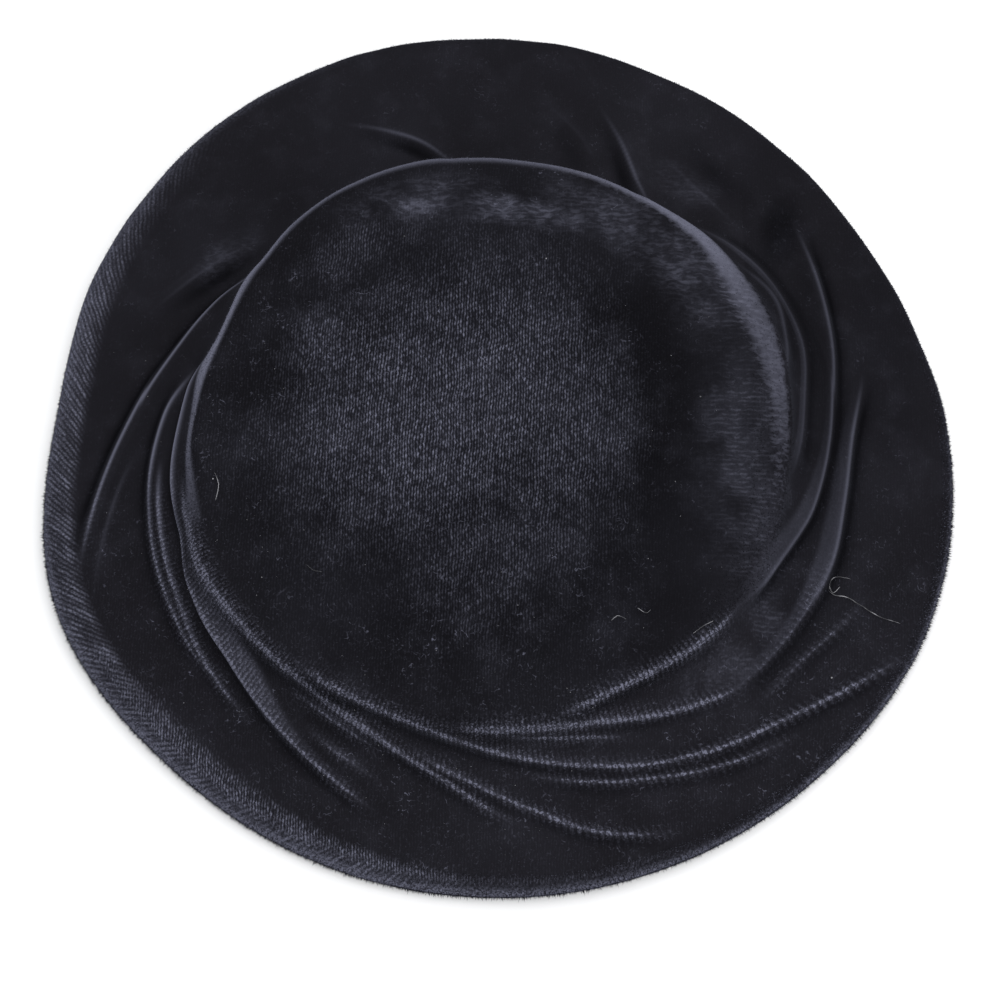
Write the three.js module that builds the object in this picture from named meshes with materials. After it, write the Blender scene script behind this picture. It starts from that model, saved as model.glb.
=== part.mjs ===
// A shallow black velvet saucer hat, lying as it rests on a table.
// Millimetres, +Z up, the side nearest the eye towards -Y. The origin is at the middle of its box, on the table.
//
// Everything is worked out round the crown's centre. A place on the hat is an angle about that centre and
// a station along the outline that runs from the middle of the tip, over the crown's edge, down its side,
// across the brim and round the brim's turned edge to the hem. The folds stand out from that outline.
import * as THREE from 'three';

// The crown
const TIP_TOP = 39.5;            // height of the tip's middle
const TIP_DOME = 3;              // how much lower the tip is at its edge
const EDGE_DROP = 5;             // height of the rounding between tip and side
const CROWN_CENTRE = { x: -2.2, y: -8.2 };

// The cloth and what stiffens it
const WALL = 2.4;
const HEM_WALL = 3.6;            // the cloth is turned under at the hem
const JOIN_GAP = 0.3;            // between the crown's foot and the brim
const THINNEST = 1.2;            // no hollow between folds leaves less than this
const INSIDE_INSET = 9;          // the inner face stays crisp where the crown's edge is soft

// The brim
const FOOT_HEIGHT = 13;          // where the crown's side runs out into the brim
const BRIM_SAG = 0.8;            // hollow of the brim between foot and turned edge

// The hat's sections about the crown's centre, one row each.
// crown, brim: reach of the crown's edge and of the brim's edge; inset: width of the rounding at the crown's
// edge, which is crisp on the left and near side and soft on the right; flare: how far out the side's foot stands;
// lean: share of that flare already taken at the top of the side; top: height of the brim where its edge
// starts to turn down; roll: radius of that turn; lift: height of the hem above the table.
const SECTIONS = [
  { angle: 0, crown: 93.5, inset: 18, brim: 147.5, flare: 17, lean: 0.10, top: 8.5, roll: 4.5, lift: 1.2 },
  { angle: 30, crown: 98.1, inset: 16, brim: 145.8, flare: 15, lean: 0.06, top: 9.0, roll: 4.5, lift: 2.0 },
  { angle: 60, crown: 96.2, inset: 9, brim: 151.0, flare: 13, lean: 0.02, top: 8.5, roll: 4.5, lift: 0.0 },
  { angle: 90, crown: 96.8, inset: 6, brim: 155.6, flare: 12, lean: 0.02, top: 8.5, roll: 4.5, lift: 0.0 },
  { angle: 120, crown: 98.5, inset: 6, brim: 154.8, flare: 13, lean: 0.02, top: 9.5, roll: 5.5, lift: 1.4 },
  { angle: 150, crown: 93.6, inset: 6, brim: 147.8, flare: 16, lean: 0.06, top: 11.0, roll: 7.5, lift: 1.8 },
  { angle: 172, crown: 94.3, inset: 6, brim: 142.0, flare: 19, lean: 0.12, top: 11.5, roll: 9.0, lift: 1.0 },
  { angle: 198, crown: 96.6, inset: 5, brim: 145.3, flare: 21, lean: 0.15, top: 11.5, roll: 9.0, lift: 0.0 },
  { angle: 225, crown: 98.0, inset: 5, brim: 139.6, flare: 22, lean: 0.18, top: 11.0, roll: 8.5, lift: 0.0 },
  { angle: 255, crown: 95.6, inset: 5, brim: 138.8, flare: 23, lean: 0.20, top: 10.5, roll: 7.5, lift: 1.6 },
  { angle: 285, crown: 93.8, inset: 5, brim: 140.0, flare: 24, lean: 0.20, top: 10.0, roll: 5.5, lift: 1.8 },
  { angle: 312, crown: 92.8, inset: 7, brim: 142.6, flare: 22, lean: 0.18, top: 8.5, roll: 4.5, lift: 0.0 },
  { angle: 338, crown: 91.8, inset: 13, brim: 147.2, flare: 19, lean: 0.14, top: 8.5, roll: 4.5, lift: 0.0 },
];

// The folds, which wind in clockwise from the brim to the crown's edge, one row each.
// angles and outs: the ridge's route, as the distance outside the crown's edge at each angle;
// rise: its height; inner, outer: how far it spreads towards the crown and towards the brim's edge.
const FOLDS = [
  // left side, from the brim's edge inwards
  { angles: [139, 152, 166, 180, 197], outs: [1, 10, 16.8, 25.4, 39], rise: 2.6, inner: 6.5, outer: 2.0 },
  { angles: [178, 190, 202], outs: [17, 27, 38], rise: 0.6, inner: 3, outer: 2.5 },
  { angles: [162, 172, 184, 196, 222], outs: [4.5, 9.5, 12.4, 13.6, 15.2], rise: 1.8, inner: 2.2, outer: 1.8 },
  { angles: [180, 200, 214, 230], outs: [9.4, 10.4, 12.4, 16.5], rise: 1.2, inner: 1.8, outer: 1.8 },
  { angles: [158, 170, 185, 204, 222], outs: [0.5, 2.2, 3.2, 2.4, 5.5], rise: 2.4, inner: 1.8, outer: 1.8 },
  {
    angles: [196, 206, 214, 226, 239, 254],
    outs: [2.2, 2.5, 3.6, 7.8, 14.8, 25],
    rise: 3.6, inner: 5.0, outer: 2.0,
  },
  // round the near left
  {
    angles: [186, 207, 222, 235, 248, 262, 275],
    outs: [0.6, -1, -1.4, -0.5, 3.2, 11.3, 26],
    rise: 1.6, inner: 2.0, outer: 1.8,
  },
  { angles: [230, 242, 254], outs: [2.8, 3.9, 9.2], rise: 1.2, inner: 2.2, outer: 1.8 },
  { angles: [236, 245, 254], outs: [7.8, 11.4, 16.8], rise: 1.2, inner: 2.2, outer: 1.8 },
  {
    angles: [229, 252, 266, 282, 300, 317, 328, 336],
    outs: [-3.5, -1.6, 1.8, 8.9, 20.6, 31.8, 44.2, 56],
    rise: 1.9, inner: 2.6, outer: 1.8,
  },
  { angles: [254, 266, 276, 286, 297], outs: [4, 10.9, 20.6, 32, 41], rise: 1.6, inner: 2.6, outer: 1.8 },
  // near and near right
  { angles: [260, 276, 290, 304, 318], outs: [-1.2, -0.7, 2, 8.3, 16.6], rise: 1.6, inner: 2.2, outer: 1.8 },
  { angles: [270, 284, 297], outs: [0.2, 3.5, 9.7], rise: 1.0, inner: 1.6, outer: 1.6 },
  { angles: [280, 297, 311, 326], outs: [-1.8, -2.9, -1.5, 1.5], rise: 1.3, inner: 2.2, outer: 1.8 },
  { angles: [274, 287, 299, 309, 318], outs: [9.3, 16.8, 24.6, 31.9, 38.5], rise: 1.6, inner: 2.4, outer: 1.8 },
  { angles: [314, 326, 341], outs: [22, 25.2, 36], rise: 1.2, inner: 3.5, outer: 1.8 },
  // right side
  { angles: [10, 22, 31, 42], outs: [-2.5, 3.9, 8.4, 5], rise: 0.6, inner: 2.0, outer: 1.8 },
  { angles: [352, 369, 383, 398, 413], outs: [1, 4.9, 9.9, 10.6, 6], rise: 1.0, inner: 2.4, outer: 2.0 },
  {
    angles: [322, 331, 337, 343, 349, 362, 376, 390, 401],
    outs: [0.5, 1.8, 3.2, 5.4, 8.2, 12.2, 17.4, 24, 33],
    rise: 2.8, inner: 4.6, outer: 2.0,
  },
  {
    angles: [310, 329, 341, 352, 364, 375],
    outs: [13, 17.6, 19.8, 19, 20.6, 28],
    rise: 3.0, inner: 5.6, outer: 2.0,
  },
  // far side, where the folds run more nearly outwards
  { angles: [94, 100, 106, 113], outs: [-1, 13.3, 22.8, 33], rise: 2.2, inner: 2.4, outer: 7.0 },
  { angles: [57, 65, 70, 75], outs: [0.5, 14, 26, 38], rise: 2.6, inner: 2.4, outer: 7.0 },
  { angles: [70, 76, 84], outs: [10, 23, 36], rise: 1.2, inner: 4, outer: 5 },
  { angles: [44, 54, 64], outs: [17, 20, 27], rise: 1.2, inner: 6, outer: 6 },
  { angles: [134, 144, 156], outs: [11, 19, 30], rise: 1.8, inner: 3, outer: 7 },
];
const FOLD_FADE = 11;            // degrees over which a fold runs out at each end
const HOLLOW_SHARE = 0.3;        // depth of the hollow at a fold's steep foot, as a share of its rise
const SHARPEST = 2.4;            // narrowest spread that the facets can hold

// Facets
const COLUMNS = 96;
const TIP_ROWS = [0.3, 0.55, 0.76, 0.88, 0.94, 1, 1.35, 1.7, 2];
const SIDE_ROWS = 12;
const SHELF_ROWS = 10;
const ROLL_ROWS = 3;
const CROWN_INSIDE_ROWS = [3, 2.75, 2.5, 2.25, 2, 1.5, 1, 0.6];
const BRIM_INSIDE_ROWS = [6, 5, 4.5, 4, 3.5];

const FULL_TURN = 360;

/** A smooth curve through (knot, value) pairs; with a period it closes on itself. */
function smoothCurve(knots, values, period = 0) {
  const count = knots.length;
  const at = (i) => {
    if (!period) return { x: knots[i], y: values[i] };
    const wrapped = ((i % count) + count) % count;
    return { x: knots[wrapped] + Math.floor(i / count) * period, y: values[wrapped] };
  };
  const slope = (i) => {
    const before = at(period ? i - 1 : Math.max(i - 1, 0));
    const after = at(period ? i + 1 : Math.min(i + 1, count - 1));
    return (after.y - before.y) / (after.x - before.x);
  };
  return (x) => {
    const last = period ? count - 1 : count - 2;
    let i = 0;
    while (i < last && x >= at(i + 1).x) i += 1;
    const a = at(i);
    const b = at(i + 1);
    const span = b.x - a.x;
    const t = (x - a.x) / span;
    const rest = 1 - t;
    return a.y * (1 + 2 * t) * rest * rest + slope(i) * span * t * rest * rest
      + b.y * (3 - 2 * t) * t * t - slope(i + 1) * span * rest * t * t;
  };
}

const wrapTurn = (angle) => ((angle % FULL_TURN) + FULL_TURN) % FULL_TURN;
const sectionAngles = SECTIONS.map((row) => row.angle);
const sectionCurve = (name) => smoothCurve(sectionAngles, SECTIONS.map((row) => row[name]), FULL_TURN);
const curves = Object.fromEntries(
  ['crown', 'inset', 'brim', 'flare', 'lean', 'top', 'roll', 'lift'].map((name) => [name, sectionCurve(name)]),
);

/** Sizes of the section at an angle. */
function sectionAt(angle) {
  const turn = wrapTurn(angle);
  const section = Object.fromEntries(Object.entries(curves).map(([name, curve]) => [name, curve(turn)]));
  section.lift = Math.max(section.lift, 0);
  return section;
}

const mix = (a, b, t) => a + (b - a) * t;

/** A point on a cubic curve with four control values. */
function cubic(a, b, c, d, t) {
  const rest = 1 - t;
  return a * rest ** 3 + 3 * b * rest * rest * t + 3 * c * rest * t * t + d * t ** 3;
}

const EDGE_TOP = TIP_TOP - TIP_DOME;
const SIDE_TOP = EDGE_TOP - EDGE_DROP;
const SIDE_MIDDLE = mix(SIDE_TOP, FOOT_HEIGHT, 0.55);

// The outline's stretches in order, each from 0 to 1: the distance from the crown's centre, and the height.
const STRETCHES = [
  function tip(t, s) {
    return [(s.crown - s.inset) * t, TIP_TOP - TIP_DOME * t * t];
  },
  function crownEdge(t, s) {
    const tipFall = 0.55 * s.inset * 2 * TIP_DOME / (s.crown - s.inset);
    const edgeFall = 0.55 * EDGE_DROP;
    const turnIn = s.lean * s.flare * edgeFall / (SIDE_TOP - SIDE_MIDDLE);
    return [
      s.crown + cubic(-s.inset, -0.45 * s.inset, -turnIn, 0, t),
      cubic(EDGE_TOP, EDGE_TOP - tipFall, SIDE_TOP + edgeFall, SIDE_TOP, t),
    ];
  },
  function side(t, s) {
    return [
      s.crown + cubic(0, s.lean * s.flare, 0.45 * s.flare, s.flare, t),
      cubic(SIDE_TOP, SIDE_MIDDLE, FOOT_HEIGHT + 0.6, FOOT_HEIGHT, t),
    ];
  },
  function shelf(t, s) {
    const sag = BRIM_SAG * 4 * t * (1 - t);
    return [mix(s.crown + s.flare, s.brim - s.roll, t), mix(FOOT_HEIGHT, s.top, t) - sag];
  },
  function roll(t, s) {
    const bend = t * Math.PI / 2;
    return [s.brim - s.roll * (1 - Math.sin(bend)), s.top - s.roll * (1 - Math.cos(bend))];
  },
  function skirt(t, s) {
    return [s.brim, mix(s.top - s.roll, s.lift, t)];
  },
];

const FOOT = 3;                  // the station where the crown's side meets the brim
const HEM = STRETCHES.length;

/** The smooth outline at a station: whole numbers are the ends of its stretches. */
function outlinePoint(station, section) {
  const index = Math.min(Math.floor(station), HEM - 1);
  const [reach, height] = STRETCHES[index](station - index, section);
  return new THREE.Vector2(reach, height);
}

/** The direction in which the outline runs at a station, from the tip towards the hem. */
function outlineRun(station, section) {
  const step = 0.01;
  const before = outlinePoint(Math.max(station - step, 0), section);
  const after = outlinePoint(Math.min(station + step, HEM), section);
  return after.sub(before).normalize();
}

const foldRoutes = FOLDS.map((fold) => smoothCurve(fold.angles, fold.outs));

/** Rise of one fold at an angle and a distance outside the crown's edge; reach is from the crown's centre. */
function foldRise(fold, route, angle, out, reach) {
  const first = fold.angles[0];
  const last = fold.angles.at(-1);
  const turn = first + wrapTurn(angle - first);
  if (turn > last) return 0;
  const fade = THREE.MathUtils.smoothstep(turn, first, first + FOLD_FADE)
    * (1 - THREE.MathUtils.smoothstep(turn, last - FOLD_FADE, last));
  const slope = (route(turn + 0.5) - route(turn - 0.5)) / THREE.MathUtils.degToRad(reach);
  const across = (out - route(turn)) / Math.hypot(1, slope);
  const inner = Math.max(fold.inner, SHARPEST);
  const outer = Math.max(fold.outer, SHARPEST);
  const spread = across < 0 ? inner : outer;
  const steep = Math.min(inner, outer);
  const footSide = outer <= inner ? 1 : -1;
  const ridge = Math.exp(-((across / spread) ** 2));
  const hollow = HOLLOW_SHARE * Math.exp(-(((across - footSide * 2 * steep) / steep) ** 2));
  return fold.rise * fade * (ridge - hollow);
}

/** How far the cloth stands out from the smooth outline. */
function drape(angle, out, reach) {
  let rise = 0;
  FOLDS.forEach((fold, i) => {
    rise += foldRise(fold, foldRoutes[i], angle, out, reach);
  });
  return Math.max(rise, THINNEST - WALL);
}

/** A point of the hat; depth goes in from the outer face, and slide goes on along the outline. */
function hatPoint(angle, station, { depth = 0, slide = 0 } = {}) {
  const section = sectionAt(angle);
  if (depth > 0) section.inset = Math.min(section.inset, INSIDE_INSET);
  const run = outlineRun(station, section);
  const out = new THREE.Vector2(-run.y, run.x);
  const point = outlinePoint(station, section).addScaledVector(run, slide);
  const reach = Math.max(point.x, section.crown);
  const rise = depth > 0 ? -depth : drape(angle, point.x - section.crown, reach);
  point.addScaledVector(out, rise);
  const turn = THREE.MathUtils.degToRad(angle);
  return new THREE.Vector3(
    CROWN_CENTRE.x + point.x * Math.cos(turn),
    CROWN_CENTRE.y + point.x * Math.sin(turn),
    point.y,
  );
}

/** A closed body from rows of points: a ring that closes on itself, or a cap with a point at each end. */
function bodyFromRows(rows, { ring }) {
  const vertices = [];
  const starts = rows.map((row) => {
    const start = vertices.length / 3;
    row.forEach((point) => vertices.push(point.x, point.y, point.z));
    return start;
  });
  const faces = [];
  const pairs = ring ? rows.length : rows.length - 1;
  for (let i = 0; i < pairs; i += 1) {
    const next = (i + 1) % rows.length;
    for (let j = 0; j < COLUMNS; j += 1) {
      const k = (j + 1) % COLUMNS;
      const [a, b] = rows[i].length === 1 ? [starts[i], starts[i]] : [starts[i] + j, starts[i] + k];
      const [d, c] = rows[next].length === 1
        ? [starts[next], starts[next]]
        : [starts[next] + j, starts[next] + k];
      if (c !== d) faces.push(a, d, c);
      if (a !== b) faces.push(a, c, b);
    }
  }
  const geometry = new THREE.BufferGeometry();
  geometry.setAttribute('position', new THREE.Float32BufferAttribute(vertices, 3));
  geometry.setIndex(faces);
  geometry.computeVertexNormals();
  return geometry;
}

const columnAngles = Array.from({ length: COLUMNS }, (_, j) => (j * FULL_TURN) / COLUMNS);
const rowAt = (station, options) => columnAngles.map((angle) => hatPoint(angle, station, options));
const evenStations = (first, count) => Array.from({ length: count }, (_, i) => first + (i + 1) / count);

/** The crown: a hollow cap of tip, rounded edge and side, with the folds that wind up the side. */
function crownGeometry() {
  return bodyFromRows([
    [hatPoint(0, 0)],
    ...TIP_ROWS.map((station) => rowAt(station)),
    ...evenStations(2, SIDE_ROWS).map((station) => rowAt(station)),
    ...CROWN_INSIDE_ROWS.map((station) => rowAt(station, { depth: WALL })),
    [hatPoint(0, 0, { depth: WALL })],
  ], { ring: false });
}

/** The brim: a ring that spreads out from the crown's foot and turns down to its hem. */
function brimGeometry() {
  return bodyFromRows([
    rowAt(FOOT, { slide: JOIN_GAP }),
    ...evenStations(3, SHELF_ROWS).map((station) => rowAt(station)),
    ...evenStations(4, ROLL_ROWS).map((station) => rowAt(station)),
    rowAt(HEM),
    ...BRIM_INSIDE_ROWS.map((station) => rowAt(station, { depth: station >= 4 ? HEM_WALL : WALL })),
    rowAt(FOOT, { depth: WALL, slide: JOIN_GAP }),
  ], { ring: true });
}

const velvet = { color: 0x17181d, roughness: 0.95, metalness: 0 };
const crown = new THREE.Mesh(crownGeometry(), new THREE.MeshStandardMaterial(velvet));
crown.name = 'crown';
const brim = new THREE.Mesh(brimGeometry(), new THREE.MeshStandardMaterial(velvet));
brim.name = 'brim';

const hat = new THREE.Group();
hat.add(crown, brim);

export default hat;
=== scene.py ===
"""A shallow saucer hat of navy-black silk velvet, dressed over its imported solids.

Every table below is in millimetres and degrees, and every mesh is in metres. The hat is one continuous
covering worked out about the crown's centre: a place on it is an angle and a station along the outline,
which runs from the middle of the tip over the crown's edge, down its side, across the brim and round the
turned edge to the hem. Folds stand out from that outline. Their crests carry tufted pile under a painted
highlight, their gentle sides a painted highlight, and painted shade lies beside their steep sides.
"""
import logging
from dataclasses import dataclass
from enum import Enum
from typing import NamedTuple, Union

import bpy
import numpy as np
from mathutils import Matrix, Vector


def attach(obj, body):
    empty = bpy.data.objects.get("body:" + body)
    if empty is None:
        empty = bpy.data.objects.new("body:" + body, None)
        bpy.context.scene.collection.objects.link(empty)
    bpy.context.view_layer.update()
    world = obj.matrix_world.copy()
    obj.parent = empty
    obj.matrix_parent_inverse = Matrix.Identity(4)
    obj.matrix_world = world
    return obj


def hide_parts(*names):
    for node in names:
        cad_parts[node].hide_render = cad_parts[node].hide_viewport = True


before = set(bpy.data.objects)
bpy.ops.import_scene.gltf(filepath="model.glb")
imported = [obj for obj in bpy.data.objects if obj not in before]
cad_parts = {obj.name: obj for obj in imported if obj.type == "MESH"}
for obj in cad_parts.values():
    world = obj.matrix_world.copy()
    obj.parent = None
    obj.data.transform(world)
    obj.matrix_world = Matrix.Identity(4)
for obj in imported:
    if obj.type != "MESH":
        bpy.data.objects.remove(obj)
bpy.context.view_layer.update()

LOG = logging.getLogger("saucer_hat")

MM = 0.001
FULL_TURN = 360.0
BODY = "root"

Array = np.ndarray


class Section(NamedTuple):
    """Sizes of the outline at one angle about the crown's centre.

    crown and brim are the reach of their edges, inset the width of the rounding at the crown's edge, flare
    how far out the side's foot stands, lean the share of that taken at the top of the side, top the height
    of the brim where it starts to turn down, roll the radius of that turn, lift the hem's height.
    """

    angle: float
    crown: float
    inset: float
    brim: float
    flare: float
    lean: float
    top: float
    roll: float
    lift: float


SECTIONS = (
    Section(0, 93.5, 18, 147.5, 17, 0.10, 8.5, 4.5, 1.2),
    Section(30, 98.1, 16, 145.8, 15, 0.06, 9.0, 4.5, 2.0),
    Section(60, 96.2, 9, 151.0, 13, 0.02, 8.5, 4.5, 0.0),
    Section(90, 96.8, 6, 155.6, 12, 0.02, 8.5, 4.5, 0.0),
    Section(120, 98.5, 6, 154.8, 13, 0.02, 9.5, 5.5, 1.4),
    Section(150, 93.6, 6, 147.8, 16, 0.06, 11.0, 7.5, 1.8),
    Section(172, 94.3, 6, 142.0, 19, 0.12, 11.5, 9.0, 1.0),
    Section(198, 96.6, 5, 145.3, 21, 0.15, 11.5, 9.0, 0.0),
    Section(225, 98.0, 5, 139.6, 22, 0.18, 11.0, 8.5, 0.0),
    Section(255, 95.6, 5, 138.8, 23, 0.20, 10.5, 7.5, 1.6),
    Section(285, 93.8, 5, 140.0, 24, 0.20, 10.0, 5.5, 1.8),
    Section(312, 92.8, 7, 142.6, 22, 0.18, 8.5, 4.5, 0.0),
    Section(338, 91.8, 13, 147.2, 19, 0.14, 8.5, 4.5, 0.0),
)


class Fold(NamedTuple):
    """One fold: its ridge's route as the distance outside the crown's edge at each angle, and its shape.

    rise is the ridge's height, inner and outer its spread towards the crown and towards the brim's edge,
    lit the strength of the painted highlight along its crest, where the pile also opens, and band that of
    the painted highlight over its gentle side at each angle, from 0 to 1.
    """

    angles: tuple[float, ...]
    outs: tuple[float, ...]
    rise: float
    inner: float
    outer: float
    lit: float
    band: tuple[float, ...]


FOLDS = (
    # left side, from the brim's edge inwards
    Fold((139, 152, 166, 180, 197), (1, 10, 16.8, 25.4, 39), 2.6, 6.5, 2, 0.7, (0, 0, 0.05, 0.1, 0.2)),
    Fold((178, 190, 202), (17, 27, 38), 0.6, 3, 2.5, 0.15, (0.1, 0.1, 0.1)),
    Fold((162, 172, 184, 196, 222), (4.5, 9.5, 12.4, 13.6, 15.2),
         1.8, 2.2, 1.8, 0.8, (0.1, 0.15, 0.3, 0.4, 0.3)),
    Fold((180, 200, 214, 230), (9.4, 10.4, 12.4, 16.5), 1.2, 1.8, 1.8, 0.8, (0.3, 0.45, 0.4, 0.2)),
    Fold((158, 170, 185, 204, 222), (0.5, 2.2, 3.2, 2.4, 5.5), 2.4, 1.8, 1.8, 1, (0.1, 0.25, 0.35, 0.4, 0.3)),
    Fold((196, 206, 214, 226, 239, 254), (2.2, 2.5, 3.6, 7.8, 14.8, 25),
         3.6, 5, 2, 1, (0.05, 0.35, 0.65, 0.85, 0.3, 0.05)),
    # round the near left
    Fold((186, 207, 222, 235, 248, 262, 275), (0.6, -1, -1.4, -0.5, 3.2, 11.3, 26),
         1.6, 2, 1.8, 1, (0.1, 0.1, 0.1, 0, 0.2, 0.1, 0)),
    Fold((230, 242, 254), (2.8, 3.9, 9.2), 1.2, 2.2, 1.8, 0.6, (0.2, 0.4, 0.3)),
    Fold((236, 245, 254), (7.8, 11.4, 16.8), 1.2, 2.2, 1.8, 0.5, (0.3, 0.4, 0.3)),
    Fold((229, 252, 266, 282, 300, 317, 328, 336), (-3.5, -1.6, 1.8, 8.9, 20.6, 31.8, 44.2, 56),
         1.9, 2.6, 1.8, 0.75, (0, 0, 0.1, 0.2, 0.1, 0, 0, 0)),
    Fold((254, 266, 276, 286, 297), (4, 10.9, 20.6, 32, 41), 1.6, 2.6, 1.8, 0.8, (0.2, 0.2, 0.1, 0, 0)),
    # near and near right
    Fold((260, 276, 290, 304, 318), (-1.2, -0.7, 2, 8.3, 16.6),
         1.6, 2.2, 1.8, 1, (0.1, 0.1, 0.1, 0.1, 0.1)),
    Fold((270, 284, 297), (0.2, 3.5, 9.7), 1, 1.6, 1.6, 0.6, (0.1, 0.1, 0.1)),
    Fold((280, 297, 311, 326), (-1.8, -2.9, -1.5, 1.5), 1.3, 2.2, 1.8, 1, (0, 0, 0, 0.1)),
    Fold((274, 287, 299, 309, 318), (9.3, 16.8, 24.6, 31.9, 38.5),
         1.6, 2.4, 1.8, 0.55, (0.1, 0.1, 0.1, 0, 0)),
    Fold((314, 326, 341), (22, 25.2, 36), 1.2, 3.5, 1.8, 0.35, (0.2, 0.1, 0)),
    # right side
    Fold((10, 22, 31, 42), (-2.5, 3.9, 8.4, 5), 0.6, 2, 1.8, 0.12, (0.2, 0.2, 0.2, 0.1)),
    Fold((352, 369, 383, 398, 413), (1, 4.9, 9.9, 10.6, 6), 1.0, 2.4, 2, 0.1, (0.5, 0.4, 0.3, 0.45, 0.1)),
    Fold((322, 331, 337, 343, 349, 362, 376, 390, 401), (0.5, 1.8, 3.2, 5.4, 8.2, 12.2, 17.4, 24, 33),
         2.8, 4.6, 2, 0.25, (0.2, 0.45, 0.6, 0.6, 0.6, 0.2, 0.05, 0.05, 0)),
    Fold((310, 329, 341, 352, 364, 375), (13, 17.6, 19.8, 19, 20.6, 28),
         3, 5.6, 2, 0.3, (0.1, 0.4, 0.8, 0.6, 0.3, 0.1)),
    # far side, where the folds run more nearly outwards
    Fold((94, 100, 106, 113), (-1, 13.3, 22.8, 33), 2.2, 2.4, 7, 0.35, (0.1, 0.1, 0, 0)),
    Fold((57, 65, 70, 75), (0.5, 14, 26, 38), 2.6, 2.4, 7, 0.35, (0.1, 0.1, 0.1, 0.1)),
    Fold((70, 76, 84), (10, 23, 36), 1.2, 4, 5, 0.05, (0.1, 0.1, 0.1)),
    Fold((44, 54, 64), (17, 20, 27), 1.2, 6, 6, 0.05, (0.1, 0.1, 0.1)),
    Fold((134, 144, 156), (11, 19, 30), 1.8, 3, 7, 0.08, (0.1, 0.15, 0.1)),
)


class RimLight(NamedTuple):
    """The strength of the painted highlight along the crown's edge at one angle.

    width is how broad that band is, and border how far outside the crown's edge its crisp side lies.
    """

    angle: float
    strength: float
    width: float
    border: float


# the painted highlight along the crown's edge, brightest on the far left
RIM_LIGHTS = (
    RimLight(0, 0.26, 5.0, -1.0),
    RimLight(13, 0.42, 7.0, -1.2),
    RimLight(28, 0.46, 9.5, -1.2),
    RimLight(39, 0.74, 6.4, -0.6),
    RimLight(48, 0.85, 4.6, 0.2),
    RimLight(60, 0.83, 4.2, 1.2),
    RimLight(90, 0.68, 4.8, 2.0),
    RimLight(125, 0.86, 3.6, 1.6),
    RimLight(150, 1.20, 2.9, 1.0),
    RimLight(162, 1.30, 2.7, 0.6),
    RimLight(172, 0.85, 2.0, 0.2),
    RimLight(181, 0.80, 1.5, 0.0),
    RimLight(190, 0.45, 2.4, -0.6),
    RimLight(201, 0.00, 2.5, -0.6),
    RimLight(260, 0.00, 1.2, 0.0),
    RimLight(325, 0.00, 3.0, 0.0),
    RimLight(342, 0.02, 4.0, 0.0),
    RimLight(352, 0.12, 5.0, -0.4),
)


class Wear(Enum):
    """What a patch does to the velvet: real wear, a painted highlight on lying pile, or painted shade."""

    WORN = "worn"          # the pile is gone and the weave shows
    BRUSHED_AND_SHEEN = "brushed_and_sheen"    # the pile lies over, under a painted highlight where it catches the light
    DEEP = "deep"          # painted shade, darkening the tip and parts of the right brim


class Patch(NamedTuple):
    """A soft-edged oval seen from above, of wear or painted light: half its length lies along turn."""

    wear: Wear
    x: float
    y: float
    length: float
    width: float
    turn: float
    strength: float


PATCHES = (
    # the tip
    Patch(Wear.WORN, -18, 2, 56, 42, 40, 1.0),
    Patch(Wear.WORN, 14, -4, 46, 31, 90, 0.72),
    Patch(Wear.WORN, -6, -42, 36, 28, 90, 0.5),
    Patch(Wear.WORN, -44, 54, 24, 12, 30, 0.45),
    Patch(Wear.WORN, -50, 20, 20, 15, 30, 0.72),
    # pile lying over under a painted highlight, on the right shoulder and along the far edge
    Patch(Wear.BRUSHED_AND_SHEEN, 77, -18, 42, 12, 92, 0.52),
    Patch(Wear.BRUSHED_AND_SHEEN, 62, 46, 30, 10, 128, 0.60),
    Patch(Wear.BRUSHED_AND_SHEEN, 38, 64, 22, 8, 150, 0.50),
    Patch(Wear.BRUSHED_AND_SHEEN, -26, 71, 20, 6, 10, 0.75),
    Patch(Wear.BRUSHED_AND_SHEEN, 8, 67, 26, 4, -7, 1.0),
    # painted shade over the whole tip
    Patch(Wear.DEEP, -4, -8, 100, 100, 0, 1.0),
    # the brim
    # pile lying over under a painted highlight
    Patch(Wear.BRUSHED_AND_SHEEN, -89, 62, 11, 6, 38, 0.32),
    Patch(Wear.BRUSHED_AND_SHEEN, 84, -62, 10, 7, 62, 0.45),
    Patch(Wear.BRUSHED_AND_SHEEN, 70, -80, 16, 8, 38, 0.45),
    Patch(Wear.BRUSHED_AND_SHEEN, 63, 88, 12, 6, -34, 0.26),
    # painted shade on the right of the brim
    Patch(Wear.DEEP, 92, 72, 14, 7, 80, 0.9),
    Patch(Wear.DEEP, 124, 30, 46, 14, 92, 0.4),
)


class Ripple(NamedTuple):
    """One slow wave of the cloth: its length, the way it runs, its height and where it starts."""

    length: float
    turn: float
    height: float
    start: float


RIPPLES = (
    Ripple(61, 24, 0.20, 0.0),
    Ripple(43, 131, 0.16, 70.0),
    Ripple(29, 77, 0.10, 200.0),
    Ripple(23, 158, 0.08, 310.0),
    Ripple(17, 12, 0.05, 140.0),
)


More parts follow.
